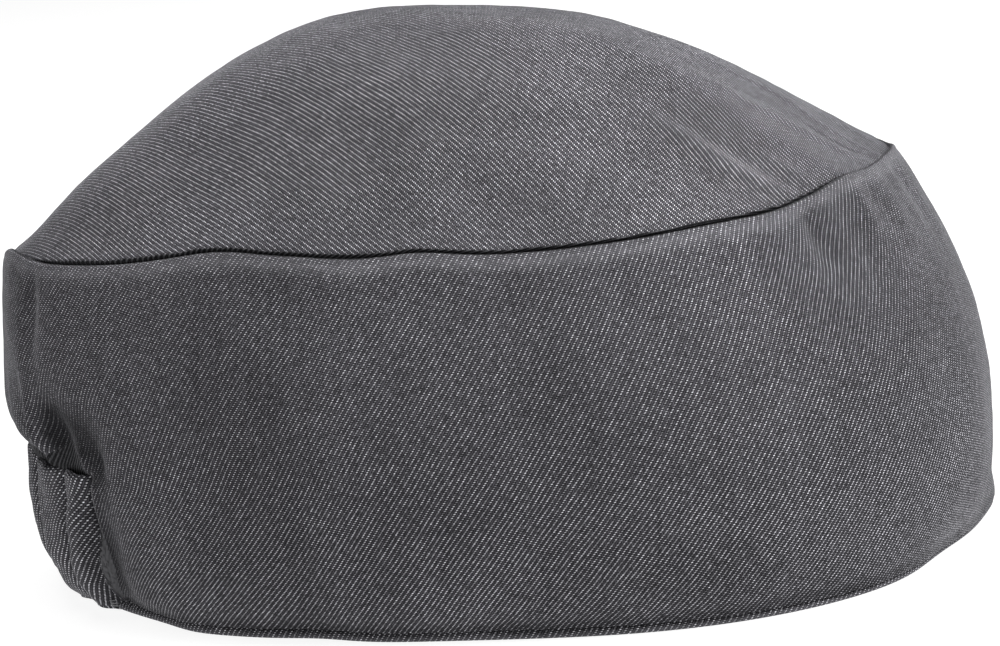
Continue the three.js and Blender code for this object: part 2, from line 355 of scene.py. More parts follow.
def fold_relief(flat, height):
    total = 0 * flat
    for centre, half, level, half_height, out in BAND_FOLDS:
        total = total + angle_bump(flat, centre, half) * peak(height, out, level, half_height)
    return total


def band_radius(flat, height):
    """The band's outside, with its folds, its dip over the channel and the groove over the hem."""
    angle = drawn_angle(flat, height)
    plain = plain_radius(angle, height)
    below = seam_height(flat) - height
    relief = fold_relief(flat, height) + pucker_field(flat, below, *BAND_PUCKERS)
    relief = relief + unevenness(around(angle, plain, height), BAND_UNEVENNESS)
    over_channel = 1 / (1 + np.exp((from_back(flat) - CHANNEL_HALF_ANGLE) / CHANNEL_DIP_END))
    relief = relief - over_channel * peak(height, *CHANNEL_DIP)
    share = hem_share(angle)
    groove = peak(height, GROOVE_BY_HEM * share - GROOVE_LESS, HEM_HEIGHT * share, GROOVE_HALF)
    return plain + relief * np.clip(below / LIP_DROP, 0, 1) - groove


# The channel's ridges.


def ridge_profile(flat, height):
    """The channel's gathers: round ridges with sharp grooves between them, that vary a little."""
    side = turn(flat, math.pi) / CHANNEL_HALF_ANGLE
    across = RIDGE_COUNT / 2 * side * (1 + RIDGE_CROWDING - RIDGE_CROWDING * side * side)
    for share, turning_height, turns in RIDGE_WANDERS:
        across = across + share * np.sin(height / turning_height + turns * flat)
    strength = 1 + RIDGE_UNEVENNESS * np.sin(np.round(across) * RIDGE_UNEVEN_STEP)
    profile = strength * (np.abs(np.cos(math.pi * across)) ** RIDGE_BROADNESS - RIDGE_LEVEL)
    for centre, half, fill in RIDGE_FILLS:
        profile = profile + fill * angle_bump(flat, centre, half)
    return profile


# The crown's surface, by angle and by share of the way from its highest point to its rim.


def crease_relief(angle, share):
    total = 0 * angle * share
    for start, inner, stop, outer, half, out in CROWN_CREASES:
        along = np.clip((share - inner) / (outer - inner), 0, 1)
        centre = np.radians(start + (stop - start) * along)
        across = turn(angle, centre) * seam_radius(angle) * share / half
        ends = bump((share - (inner + outer) / 2) / ((outer - inner) / CREASE_ENDS))
        fade = np.clip(CREASE_FADE * (CREASE_FADE_END - share), 0, 1)
        total = total + out * bump(across) * ends * fade
    return total


def crown_rim(angle):
    """The radius and the height of the crown's edge."""
    radius = seam_radius(angle) - CROWN_GAP
    height = seam_height(angle) + CROWN_LIFT
    for centre, half, inwards, down in CROWN_TUCKS:
        tuck = angle_bump(angle, centre, half)
        radius = radius - inwards * tuck
        height = height - down * tuck
    return radius, height


def dome_rise(angle, share):
    """How far up the crown is, from 0 at its rim to 1 at its highest point."""
    square = share * share
    fullness = wave_sum(DOME_WAVES, angle)
    edge = wave_sum(DOME_EDGE_WAVES, angle)
    return (1 - square) * (1 + fullness * square + edge * square * square)


def crown_surface(angle, share):
    rim, rim_height = crown_rim(angle)
    x = APEX_X + (rim * np.cos(angle) - APEX_X) * share
    y = rim * np.sin(angle) * share
    height = rim_height + (APEX_HEIGHT - rim_height) * dome_rise(angle, share)
    square = share * share
    behind = angle_bump(angle, 180, BACK_HALF_ANGLE)
    height = height + BACK_FULLNESS * behind * 4 * square * (1 - square)
    for centre, half, middle, half_share, up in CROWN_SWELLS:
        height = height + angle_bump(angle, centre, half) * peak(share, up, middle, half_share)
    height = height + crease_relief(angle, share)
    place = np.stack([x, y, height], -1)
    fade = np.clip(RIM_FADE * (1 - share), RIM_FADE_LEAST, 1)
    place[..., 2] += unevenness(place, CROWN_UNEVENNESS) * fade
    place[..., 2] += pucker_field(angle, (1 - share) * rim, *CROWN_PUCKERS)
    return place


# Meshes. Each point's wear value is above 0 where the cloth is painted paler, for wear and as painted
# highlight, and below 0 where painted shade darkens it.

# The painted shade of an edge that is turned in out of sight; the band's inside gets it too.
TURNED_IN_SHADE = -0.8


def make_piece(name, points, faces):
    """A smooth mesh object from points in millimetres about the tables' middle."""
    placed = np.asarray(points, float) * MM
    placed[:, 0] += SHIFT_X * MM
    mesh = bpy.data.meshes.new(name)
    mesh.from_pydata(placed.tolist(), [], faces)
    mesh.polygons.foreach_set("use_smooth", np.ones(len(faces), bool))
    piece = bpy.data.objects.new(name, mesh)
    bpy.context.scene.collection.objects.link(piece)
    return piece


def quad_faces(column, row, columns, rows):
    right = (column + 1) % columns
    above = (row + 1) % rows
    corners = [column * rows + row, right * rows + row, right * rows + above, column * rows + above]
    return np.stack(corners, -1).tolist()


def quad_cloth(column, row, cloth):
    right = column + 1
    above = row + 1
    corners = [cloth[column, row], cloth[right, row], cloth[right, above], cloth[column, above]]
    return np.stack(corners, 1).reshape(-1, 2)


def end_faces(columns, rows):
    """The two flat ends of a shell that doesn't go all the way round."""
    last = (columns - 1) * rows
    return [list(range(rows)), [last + index for index in reversed(range(rows))]]


def fan_faces(columns, rows, ring, hub, forwards):
    """Triangles from one ring of a shell to a point in its middle, and the columns of their two corners."""
    first = np.arange(columns)
    pairs = np.stack([first, first + 1] if forwards else [first + 1, first], -1)
    faces = [[(a % columns) * rows + ring, (b % columns) * rows + ring, hub] for a, b in pairs.tolist()]
    return faces, pairs


def fan_cloth(pairs, ring, cloth):
    hub_cloth = np.broadcast_to(cloth[:-1, ring].mean(0), (len(pairs), 2))
    return np.stack([cloth[pairs[:, 0], ring], cloth[pairs[:, 1], ring], hub_cloth], 1).reshape(-1, 2)


def make_shell(name, points, cloth, wear_and_painted_light, wraps=True, inner_from=None, split_row=None):
    """A closed body from upright loops: points[column, row], whose last row meets the first.

    cloth holds flat cloth coordinates for one more column and row. Faces from the row inner_from on have the
    second material. No faces join split_row to the next row: a fan closes each of those two rings instead.
    """
    columns, rows = points.shape[:2]
    spans = columns if wraps else columns - 1
    column, row = np.meshgrid(np.arange(spans), np.arange(rows), indexing="ij")
    kept = row != (-1 if split_row is None else split_row)
    column = column[kept]
    row = row[kept]
    faces = quad_faces(column, row, columns, rows)
    flat = quad_cloth(column, row, cloth)
    inside = row >= (rows if inner_from is None else inner_from)
    vertices = points.reshape(-1, 3)
    worn_and_painted_light = wear_and_painted_light.reshape(-1)
    if not wraps:
        faces += end_faces(columns, rows)
        flat = np.concatenate([flat, np.zeros((2 * rows, 2))])
        inside = np.append(inside, [False, False])
    if split_row is not None:
        for ring in (split_row, split_row + 1):
            closing, pairs = fan_faces(columns, rows, ring, len(vertices), ring == split_row)
            faces += closing
            flat = np.concatenate([flat, fan_cloth(pairs, ring, cloth)])
            inside = np.append(inside, np.full(columns, ring > split_row))
            vertices = np.concatenate([vertices, points[:, ring].mean(0)[None]])
            worn_and_painted_light = np.append(worn_and_painted_light, wear_and_painted_light[0, ring])
    piece = make_piece(name, vertices, faces)
    set_cloth(piece.data, flat, worn_and_painted_light, inside)
    return piece


def set_cloth(mesh, flat, worn_and_painted_light, inside):
    """The flat cloth coordinates of each corner, each point's wear value with its painted highlight and
    painted shade, and the material of each face.
    """
    layer = mesh.uv_layers.new(name="Cloth")
    layer.data.foreach_set("uv", flat.astype(np.float32).reshape(-1))
    attribute = mesh.attributes.new("wear_and_painted_light", "FLOAT", "POINT")
    attribute.data.foreach_set("value", worn_and_painted_light.astype(np.float32))
    mesh.polygons.foreach_set("material_index", inside.astype(np.int32))
    mesh.update()


def slanted_cloth(points, run, stretch=1.0):
    """Flat cloth coordinates of a shell cut on the band's slant, with one more column and row."""
    cloth_u = run + 0 * points[..., 0]
    cloth_v = stretch * path_length(points, 1) - math.tan(BAND_SKEW) * cloth_u
    grid = np.stack([cloth_u, cloth_v], -1)
    grid = np.concatenate([grid, 2 * grid[-1:] - grid[-2:-1]], 0)
    return np.concatenate([grid, grid[:, -1:]], 1)


# Band.

BAND_COLUMNS = 900
BAND_ROWS = 76
BAND_ROW_POWERS = (1.15, 1.35)
# How far the band's bottom goes down behind the hem.
HEM_OVERLAP = 0.3
# How far the band steps in behind the channel, how high that starts above it, and the height that it takes.
COVER_DEPTH = 2.6
COVER_START = 1.0
COVER_RUN = 2.5
INNER_COVER_RUN = 3
# The rolled top edge, in degrees round its curve, and how many of its rows show.
BAND_ROLL = np.array([[20, 40, 60, 80, 100]])
ROLL_SHOWING = 3
# A narrow ledge under the crown's edge, so that no light comes through the seam: how far in and down it is.
LEDGE_IN = np.array([[1.4, 3.2, 3.2, 1.9]])
LEDGE_DOWN = np.array([[2.0, 2.5, 2.8, 3.0]])
# The inside: its rows, its topmost share of the height, and how much of the folds shows there.
INNER_ROWS = 12
INNER_TOP = 0.97
INNER_FOLDS = 0.7
# Wear with a painted highlight on the lip below the seam, and painted shade in the groove over the hem:
# strength, place, half width.
SEAM_WEAR_AND_HIGHLIGHT = (0.5, 1.4, 1.5)
GROOVE_SHADE = (0.45, HEM_HEIGHT, 1.6)
# Shade in the hollows: the depth where it starts and the depth that it takes to be full, its share at the
# front, and how far round from the back it is stronger.
HOLLOW_FROM = 0.8
HOLLOW_RUN = 1.7
FRONT_HOLLOW = 0.3
HOLLOW_HALF_ANGLE = 80


def band_edges(flat):
    """The heights of the band's bottom and of the start of its rolled top edge."""
    bottom = (HEM_HEIGHT - HEM_OVERLAP) * hem_share(drawn_angle(flat, 0.0))
    return bottom, seam_height(flat) - EDGE_ROUND


def behind_channel(flat, height, start, run):
    """How far the band has stepped in behind the channel, as a share."""
    return np.where(from_back(flat) < CHANNEL_HALF_ANGLE, np.clip((start - height) / run, 0, 1), 0)


def band_outside(flat):
    bottom, top = band_edges(flat)
    height = bottom + (top - bottom) * spread_rows(BAND_ROWS, *BAND_ROW_POWERS)
    step_in = COVER_DEPTH * behind_channel(flat, height, CHANNEL_TOP + COVER_START, COVER_RUN)
    return height, band_radius(flat, height) - step_in


def band_top_edge(flat, radius):
    """The rolled edge and the ledge inside it, from the radius just under them."""
    roll = np.radians(BAND_ROLL)
    seam = seam_height(flat)
    roll_radius = radius - EDGE_ROUND + EDGE_ROUND * np.cos(roll)
    rolled = around(flat, roll_radius, seam - EDGE_ROUND + EDGE_ROUND * np.sin(roll))
    ledge = around(flat, radius - LEDGE_IN, seam - LEDGE_DOWN)
    return np.concatenate([rolled, ledge], 1)


def band_inside(flat):
    bottom, top = band_edges(flat)
    height = bottom + (top - bottom) * np.linspace(INNER_TOP, 0, INNER_ROWS)[None, :]
    angle = drawn_angle(flat, height)
    radius = plain_radius(angle, height) + INNER_FOLDS * fold_relief(flat, height) - BAND_WALL
    radius = radius - COVER_DEPTH * behind_channel(flat, height, CHANNEL_TOP, INNER_COVER_RUN)
    return around(angle, radius, height)


def band_wear_and_painted_light(flat, height, points):
    # Wear with a painted highlight under the seam; painted shade on the turned-in rows, in the hollows and in
    # the groove over the hem.
    below = seam_height(flat) - points[..., 2]
    wear_and_painted_light = peak(below, *SEAM_WEAR_AND_HIGHLIGHT)
    wear_and_painted_light[:, BAND_ROWS + ROLL_SHOWING :] = TURNED_IN_SHADE
    hollow = np.clip((-fold_relief(flat, height) - HOLLOW_FROM) / HOLLOW_RUN, 0, 1)
    hollow = hollow * (FRONT_HOLLOW + (1 - FRONT_HOLLOW) * angle_bump(flat, 180, HOLLOW_HALF_ANGLE))
    wear_and_painted_light[:, :BAND_ROWS] -= hollow + peak(height, *GROOVE_SHADE)
    return wear_and_painted_light


def make_band():
    flat = np.linspace(-math.pi, math.pi, BAND_COLUMNS, endpoint=False)[:, None]
    height, radius = band_outside(flat)
    outside = around(drawn_angle(flat, height), radius, height)
    top_edge = band_top_edge(flat, radius[:, -1:])
    points = np.concatenate([outside, top_edge, band_inside(flat)], 1)
    run = path_length(around(flat, middle_radius(flat), 0.0), 0)
    wear_and_painted_light = band_wear_and_painted_light(flat, height, points)
    inner_from = BAND_ROWS + top_edge.shape[1] - 1
    return make_shell("band", points, slanted_cloth(points, run), wear_and_painted_light, inner_from=inner_from)


# Crown.

CROWN_COLUMNS = 720
CROWN_ROWS = 112
CROWN_ROW_POWER = 1.12
CROWN_START = 0.0025
CROWN_INNER_ROWS = 9
CROWN_INNER_SHARES = (0.01, 0.985)
# The turned edge, from the inside to the rim: how far in it is, how far down, and the cloth that it takes.
EDGE_IN = np.array([[1.6, 0.95, 0.4, 0.08]])
EDGE_DOWN = np.array([[1.5, 1.0, 0.65, 0.28]])
EDGE_CLOTH = np.array([[2.5, 1.7, 1.0, 0.4]])
# How the crown's grain is pulled aslant towards the back: where that starts, how softly, and how far.
GRAIN_START = 38.0
GRAIN_EASE = 9.0
GRAIN_PULL = 0.55
# Wear with a painted highlight on the creases' ridges and painted shade in their dents, and painted shade by
# the distance from the rim:
# strength, place, half width. The rim lies about this far from the crown's middle.
CREASE_WEAR_HIGHLIGHT_SHADE = 0.25
RIM_SHADE = (0.3, 0, 0.7)
RIM_DISTANCE = 90


def crown_edge(angle, rim):
    """The crown's edge turned down and in, from its rim."""
    x = rim[..., 0] - EDGE_IN * np.cos(angle)
    y = rim[..., 1] - EDGE_IN * np.sin(angle)
    return np.stack([x, y, rim[..., 2] - EDGE_DOWN], -1)


def crown_cloth(outside, inside):
    """The crown laid flat: each spot at its own distance and direction from the highest point."""
    meridian = path_length(outside[:, ::-1], 1)[:, ::-1]
    away = outside[..., :2] - [APEX_X, 0.0]
    direction = away / np.linalg.norm(away, axis=-1, keepdims=True)
    flat_outside = direction * meridian[..., None]
    flat_inside = inside[..., :2] - [APEX_X, 0.0]
    flat_edge = flat_outside[:, :1] + direction[:, :1] * EDGE_CLOTH[..., None]
    flat = np.concatenate([flat_outside, flat_inside, flat_edge], 1)
    flat[..., 1] -= GRAIN_PULL * GRAIN_EASE * np.logaddexp(0, (-flat[..., 0] - GRAIN_START) / GRAIN_EASE)
    flat = np.concatenate([flat, flat[:1]], 0)
    flat = np.concatenate([flat, flat[:, :1]], 1)
    return flat[..., ::-1]


def crown_wear_and_painted_light(angle, shares, shape):
    # Wear with a painted highlight on the creases' ridges, painted shade in their dents, near the rim and on
    # the turned edge.
    wear_and_painted_light = np.zeros(shape)
    rim_shade = peak((1 - shares) * RIM_DISTANCE, *RIM_SHADE)
    wear_and_painted_light[:, :CROWN_ROWS] = CREASE_WEAR_HIGHLIGHT_SHADE * crease_relief(angle, shares) - rim_shade
    wear_and_painted_light[:, -EDGE_IN.shape[1] :] = TURNED_IN_SHADE
    return wear_and_painted_light


def make_crown():
    angle = np.linspace(-math.pi, math.pi, CROWN_COLUMNS, endpoint=False)[:, None]
    shares = 1 - (1 - np.linspace(CROWN_START, 1, CROWN_ROWS)) ** CROWN_ROW_POWER
    shares = shares[::-1][None, :]
    outside = crown_surface(angle, shares)
    inside = crown_surface(angle, np.linspace(*CROWN_INNER_SHARES, CROWN_INNER_ROWS)[None, :])
    inside[..., 2] -= CROWN_WALL
    points = np.concatenate([outside, inside, crown_edge(angle, outside[:, :1])], 1)
    wear_and_painted_light = crown_wear_and_painted_light(angle, shares, points.shape[:2])
    cloth = crown_cloth(outside, inside)
    return make_shell("crown", points, cloth, wear_and_painted_light, inner_from=CROWN_ROWS, split_row=CROWN_ROWS - 1)


# Gathered channel.

CHANNEL_COLUMNS = 400
CHANNEL_ROWS = 54
CHANNEL_ROW_POWERS = (1.2, 1.3)
CHANNEL_INNER_ROWS = 8
# What the channel leaves free at each end, in radians, and between its rolled top and its full height.
END_GAP = 0.004
TOP_GAP = 0.8
# The channel's radius, for turning angles from its ends into lengths.
CHANNEL_RADIUS = 95
# The rolled top and the rolled foot, in degrees round their curves, and the foot's radius.
CHANNEL_ROLL = np.array([[25, 50, 75, 100, 130]])
FOOT_ROLL = np.array([[-130, -100, -70, -40]])
FOOT_ROUND = 0.7
# The bottom lifts off the floor near the ends, and comes down again at the very ends: by how much, and where
# and over what half angle from the end.
END_LIFT = (1.1, 0, math.radians(13))
END_DROP = (1.1, 0, math.radians(3))
# The ridges' height outside and inside.
RIDGE_OUT = 2.5
INNER_RIDGE_OUT = 0.8
# The ridges are pressed flatter at the top and the bottom: share, height, half height.
TOP_PINCH = (0.25, CHANNEL_TOP, 4)
BOTTOM_PINCH = (0.35, 0, 4)
# The last ridge stands proud, and the end itself dips into the band: depth, length from the end, half length.
END_RIDGE = (1.0, 4.0, 4.0)
END_DIP = (3.0, 0, 2.2)
CHANNEL_UNEVENNESS = [(0.2, 41, 9)]
# The gathered cloth is drawn out upwards, so its yarns lie further apart.
CHANNEL_STRETCH = 0.62
# Paler crests on the ridges, and painted shade in the grooves and at the ends, with the rates and places at
# which they start.
CREST_PALING = 0.3
CREST_RATE = 2.0
VALLEY_SHADE = 0.85
VALLEY_RATE = 2.2
VALLEY_FROM = 0.4
END_SHADE = 0.6
END_SHADE_FROM = 0.5
END_SHADE_RUN = 2.5


def channel_bottom(flat):
    from_end = CHANNEL_HALF_ANGLE - from_back(flat)
    return FOOT_ROUND + peak(from_end, *END_LIFT) - peak(from_end, *END_DROP)


def channel_base(angle, height):
    """The channel without its ridges."""
    return plain_radius(angle, height) + np.interp(height, SWELL_HEIGHTS, SWELL_OUT)


def length_from_end(flat):
    return (CHANNEL_HALF_ANGLE - from_back(flat)) * CHANNEL_RADIUS


def channel_radius(flat, angle, height):
    """The channel's outside, with its ridges."""
    base = channel_base(angle, height)
    pinch = 1 - peak(height, *TOP_PINCH) - peak(height, *BOTTOM_PINCH)
    edge = length_from_end(flat)
    ends = peak(edge, *END_RIDGE) - peak(edge, *END_DIP)
    uneven = unevenness(around(angle, base, height), CHANNEL_UNEVENNESS)
    return base + RIDGE_OUT * ridge_profile(flat, height) * pinch + ends + uneven


def channel_inside(flat, bottom, top):
    start = top - TOP_GAP
    height = start + (bottom - start) * np.linspace(0, 1, CHANNEL_INNER_ROWS)[None, :]
    angle = drawn_angle(flat, height)
    radius = channel_base(angle, height) + INNER_RIDGE_OUT * ridge_profile(flat, height) - CHANNEL_WALL
    return around(angle, radius, height)


def rolled_rows(angle, radius, height, degrees, size):
    """Rows round a rolled edge that starts at a radius and a height."""
    roll = np.radians(degrees)
    return around(angle, radius - size + size * np.cos(roll), height + size * np.sin(roll))


def channel_paling_and_shade(flat, height, shape):
    # Paler on the ridges' crests; painted shade in the grooves and at the channel's ends.
    ridges = ridge_profile(flat, height)
    crest = np.clip(ridges * CREST_RATE, 0, 1)
    valley = np.clip(-ridges * VALLEY_RATE - VALLEY_FROM, 0, 1)
    side_fade = np.clip((length_from_end(flat) - END_SHADE_FROM) / END_SHADE_RUN, 0, 1)
    wear_and_painted_light = np.zeros(shape)
    ends = END_SHADE * (1 - side_fade)
    wear_and_painted_light[:, :CHANNEL_ROWS] = CREST_PALING * crest * side_fade - VALLEY_SHADE * valley - ends
    return wear_and_painted_light


def make_channel():
    end = CHANNEL_HALF_ANGLE - END_GAP
    flat = np.linspace(math.pi - end, math.pi + end, CHANNEL_COLUMNS)[:, None]
    bottom = channel_bottom(flat)
    top = CHANNEL_TOP - TOP_GAP
    height = bottom + (top - bottom) * spread_rows(CHANNEL_ROWS, *CHANNEL_ROW_POWERS)
    angle = drawn_angle(flat, height)
    radius = channel_radius(flat, angle, height)
    outside = around(angle, radius, height)
    rolled = rolled_rows(angle[:, -1:], radius[:, -1:], top, CHANNEL_ROLL, EDGE_ROUND)
    foot = rolled_rows(angle[:, :1], radius[:, :1], bottom, FOOT_ROLL, FOOT_ROUND)
    points = np.concatenate([outside, rolled, channel_inside(flat, bottom, top), foot], 1)
    middle = CHANNEL_ROWS // 2
    run = path_length(outside[:, middle : middle + 1], 0)
    cloth = slanted_cloth(points, run, CHANNEL_STRETCH)
    wear_and_painted_light = channel_paling_and_shade(flat, height, points.shape[:2])
    return make_shell("elastic_channel", points, cloth, wear_and_painted_light, wraps=False)


# Hem.

HEM_COLUMNS = 1000
# How far the hem goes past the channel's ends, in radians, and the height at which its line is measured.
HEM_PAST = 0.02
HEM_LINE_HEIGHT = 1.0
# The hem's section, from its outside foot over its top to its inside foot: how far in, and how high.
HEM_IN = np.array([[0.55, 0.22, 0.04, 0.0, 0.0, 0.10, 0.35, 0.75, 1.2, HEM_WALL, HEM_WALL, HEM_WALL - 0.1]])
HEM_UP = np.array([[0.0, 0.12, 0.4, 0.9, 1.4, 1.9, 2.3, 2.52, 2.45, 2.3, 1.2, 0.0]])
# Where the section's upper part starts, how soon it is full, and how far in it reaches.
UPPER_FROM = 1.2
UPPER_RUN = 1.3
UPPER_REACH = 1.3
# How the upper edge wanders: rise, length, start. The first also leads the stitches.
HEM_SWAYS = [(0.10, 11.0, 0.0), (0.06, 4.3, 1.0)]
# The stitches pull the upper edge down and in between them, over short spans.
STITCH_PITCH = 3.0
PULL_POWER = 6
PULL_DOWN = 0.22
PULL_IN = 0.25
# Wear along the foot's outside: strength, height, half height; and how far in it reaches.
FOOT_WEAR = (0.5, 0.5, 0.5)
FOOT_REACH = 0.5


def hem_line(count):
    """Angles along the bottom edge outside the channel, and the distance run along it."""
    side = math.pi - CHANNEL_HALF_ANGLE + HEM_PAST
    angle = drawn_angle(np.linspace(-side, side, count)[:, None], HEM_LINE_HEIGHT)
    run = path_length(around(angle, hem_radius(angle), 0.0), 0)
    return angle, run


def hem_sway(run, sways):
    return sum(rise * np.sin(run / length + start) for rise, length, start in sways)


def make_hem():
    angle, run = hem_line(HEM_COLUMNS)
    pull = np.abs(np.cos(math.pi * run / STITCH_PITCH)) ** PULL_POWER
    upper = np.clip((HEM_UP - UPPER_FROM) / UPPER_RUN, 0, 1) * (HEM_IN < UPPER_REACH)
    height = (HEM_UP + upper * (hem_sway(run, HEM_SWAYS) - PULL_DOWN * pull)) * hem_share(angle)
    inset = HEM_IN + upper * PULL_IN * pull
    points = around(angle, hem_radius(angle) + flare(angle, 0.0) - inset, height)
    wear_and_painted_light = peak(height, *FOOT_WEAR) * (HEM_IN < FOOT_REACH)
    return make_shell("hem", points, slanted_cloth(points, run), wear_and_painted_light, wraps=False)


# Thread.

THREAD_SIDES = 6
# The curve along which a stitch tapers, and its least share of its thickness, at its ends.
TAPER_POWER = 6
TAPER_LEAST = 0.2

# The hem's stitches.
HEM_LINE_POINTS = 4000
STITCH_POINTS = 7
STITCH_GAP = 0.5
STITCH_HEIGHT = 2.55
STITCH_SINK = 0.55
STITCH_ARCH = 0.22
STITCH_FLARE_HEIGHT = 2.0
STITCH_RADIUS = 0.17

# The tacks at the channel's ends: heights in millimetres, and places along the edge in radians.
TACK_SEED = 77
TACK_COUNT = 6
TACK_POINTS = 6
TACK_LOWEST = 1.2
TACK_STEP = 0.40
TACK_PAST = 0.002
TACK_SPAN = (-0.016, 0.020)
TACK_STRAY = 0.002
TACK_SLANT = 0.35
TACK_PROUD = 0.5
TACK_ARCH = 0.8
TACK_RADIUS = 0.10


def tube_points(path, radius):
    """Rings of points round a path, thinner at its two ends."""
    tangents = np.gradient(path, axis=0)
    tangents /= np.linalg.norm(tangents, axis=1, keepdims=True)
    side = np.cross(tangents, [0.0, 0.0, 1.0])
    side /= np.linalg.norm(side, axis=1, keepdims=True)
    up = np.cross(side, tangents)
    along = np.linspace(-1, 1, len(path))
    taper = np.sqrt(np.maximum(TAPER_LEAST**2, 1 - along**TAPER_POWER))
    around_ring = (2 * math.pi * np.arange(THREAD_SIDES) / THREAD_SIDES)[None, :, None]
    offsets = side[:, None] * np.cos(around_ring) + up[:, None] * np.sin(around_ring)
    return (path[:, None] + offsets * radius * taper[:, None, None]).reshape(-1, 3)


def tube_faces(start, count):
    faces = []
    for index in range(count - 1):
        for side in range(THREAD_SIDES):
            first = start + index * THREAD_SIDES + side
            second = start + index * THREAD_SIDES + (side + 1) % THREAD_SIDES
            faces.append([first, second, second + THREAD_SIDES, first + THREAD_SIDES])
    faces.append([start + side for side in reversed(range(THREAD_SIDES))])
    faces.append([start + (count - 1) * THREAD_SIDES + side for side in range(THREAD_SIDES)])
    return faces


def make_threads(name, paths, radius):
    """Short stitches, each a tapered tube along its own path of points."""
    vertices = []
    faces = []
    for path in paths:
        faces += tube_faces(len(vertices), len(path))
        vertices += tube_points(path, radius).tolist()
    return make_piece(name, vertices, faces)


def arch(count):
    return np.sin(np.linspace(0, math.pi, count))


def make_hem_stitches():
    line_angle, run = hem_line(HEM_LINE_POINTS)
    paths = []
    for index in range(int(run[-1, 0] / STITCH_PITCH)):
        begin = (index + 0.5) * STITCH_PITCH + STITCH_GAP / 2
        along = np.linspace(begin, begin + STITCH_PITCH - STITCH_GAP, STITCH_POINTS)
        angle = np.interp(along, run[:, 0], line_angle[:, 0])
        height = (STITCH_HEIGHT + hem_sway(along, HEM_SWAYS[:1])) * hem_share(angle)
        radius = hem_radius(angle) + flare(angle, STITCH_FLARE_HEIGHT) - STITCH_SINK
        paths.append(around(angle, radius + STITCH_ARCH * arch(STITCH_POINTS), height))
    return make_threads("hem_stitches", paths, STITCH_RADIUS)


def make_tacks():
    rng = np.random.default_rng(TACK_SEED)
    paths = []
    for side in (-1, 1):
        for index in range(TACK_COUNT):
            end = math.pi + side * (CHANNEL_HALF_ANGLE + TACK_PAST)
            flat = end + side * np.linspace(*TACK_SPAN, TACK_POINTS)
            flat = flat + rng.uniform(-TACK_STRAY, TACK_STRAY)
            slant = np.linspace(-TACK_SLANT, TACK_SLANT, TACK_POINTS) * (1 if index % 2 else -1)
            height = TACK_LOWEST + index * TACK_STEP + slant
            angle = drawn_angle(flat, height)
            radius = plain_radius(angle, height) + TACK_PROUD + TACK_ARCH * arch(TACK_POINTS)
            paths.append(around(angle, radius, height))
    return make_threads("end_tacks", paths, TACK_RADIUS)


# Materials.


class Graph:
    """A short way to write a material's nodes."""

    def __init__(self, name):
        self.material = bpy.data.materials.new(name)
        self.material.use_nodes = True
        self.tree = self.material.node_tree
        self.tree.nodes.clear()

    def node(self, kind, **settings):
        made = self.tree.nodes.new(kind)
        for key, value in settings.items():
            setattr(made, key, value)
        return made

    def link(self, source, target):
        self.tree.links.new(source, target)

    def feed(self, socket, value):
        if isinstance(value, bpy.types.NodeSocket):
            self.link(value, socket)
        else:
            socket.default_value = value

    def fill(self, made, values):
        """Feeds the sockets that the values name, or the first ones in order."""
        pairs = values.items() if isinstance(values, dict) else enumerate(values)
        for key, value in pairs:
            self.feed(made.inputs[key], value)
        return made

    def math(self, operation, *values, clamp=False):
        made = self.node("ShaderNodeMath", operation=operation, use_clamp=clamp)
        return self.fill(made, values).outputs[0]

    def ramp(self, value, low, high, to_low=0.0, to_high=1.0):
        made = self.node("ShaderNodeMapRange", interpolation_type="SMOOTHSTEP")
        return self.fill(made, (value, low, high, to_low, to_high)).outputs[0]

    def mix(self, factor, first, second, blend="MIX"):
        made = self.node("ShaderNodeMix", data_type="RGBA", blend_type=blend)
        return self.fill(made, {0: factor, 6: first, 7: second}).outputs[2]

    def noise(self, vector, scale, detail, rough):
        settings = {"Vector": vector, "Scale": scale, "Detail": detail, "Roughness": rough}
        return self.fill(self.node("ShaderNodeTexNoise"), settings).outputs[0]

    def cell(self, x, y):
        """An even random value for each whole x and y."""
        place = self.fill(self.node("ShaderNodeCombineXYZ"), (x, y)).outputs[0]
        made = self.node("ShaderNodeTexWhiteNoise", noise_dimensions="2D")
        return self.fill(made, {"Vector": place}).outputs["Value"]

    def split(self, vector):
        return self.fill(self.node("ShaderNodeSeparateXYZ"), (vector,)).outputs

    def relief(self, height, strength, distance):
        settings = {"Height": height, "Strength": strength, "Distance": distance}
        return self.fill(self.node("ShaderNodeBump"), settings)

    def surface(self, settings):
        """The shader, with plain numbers and colours on its own sockets, and the material's output."""
        shader = self.fill(self.node("ShaderNodeBsdfPrincipled"), settings)
        self.fill(self.node("ShaderNodeOutputMaterial"), (shader.outputs[0],))
        return self.material


# The weave: how the yarns sway, how round an end is, how small the weft's dots are, and how high they stand.
SWAY = (0.09, 1.0, 0.5)
SWAY_ACROSS = 1.2
SWAY_ALONG = -0.9
END_ROUNDNESS = 0.5
PICK_LEVEL = 0.52
PICK_SWING = 0.48
LINE_POWER = 4.5
PICK_POWER = 1.8
DOT_HEIGHT = 0.6

# The tones of the warp: the least, and what each end and each float adds, then the painted shade in the
# darkest gap between ends, and the row of random values that the ends take theirs from.
WARP_TONE = 0.72
END_TONE = 0.30
FLOAT_TONE = 0.26
GAP_SHADE_TONE = 0.01
END_ROW = 3.0
# The strength of the weft's dots: the least, and what each adds.
DOT_LEAST = 0.40
DOT_VARIES = 0.72

# Noise textures: scale, detail, roughness. The sway and the streaks run on the cloth's own coordinates.
STREAK = (0.55, 2.0, 0.6)
CLOUD = (26.0, 3.0, 0.55)
PATCH = (75.0, 2.0, 0.5)
SPECKLE = (1800.0, 3.0, 0.65)
FUZZ = (900.0, 2.0, 0.6)
STRAND = (2600.0, 2.0, 0.6)

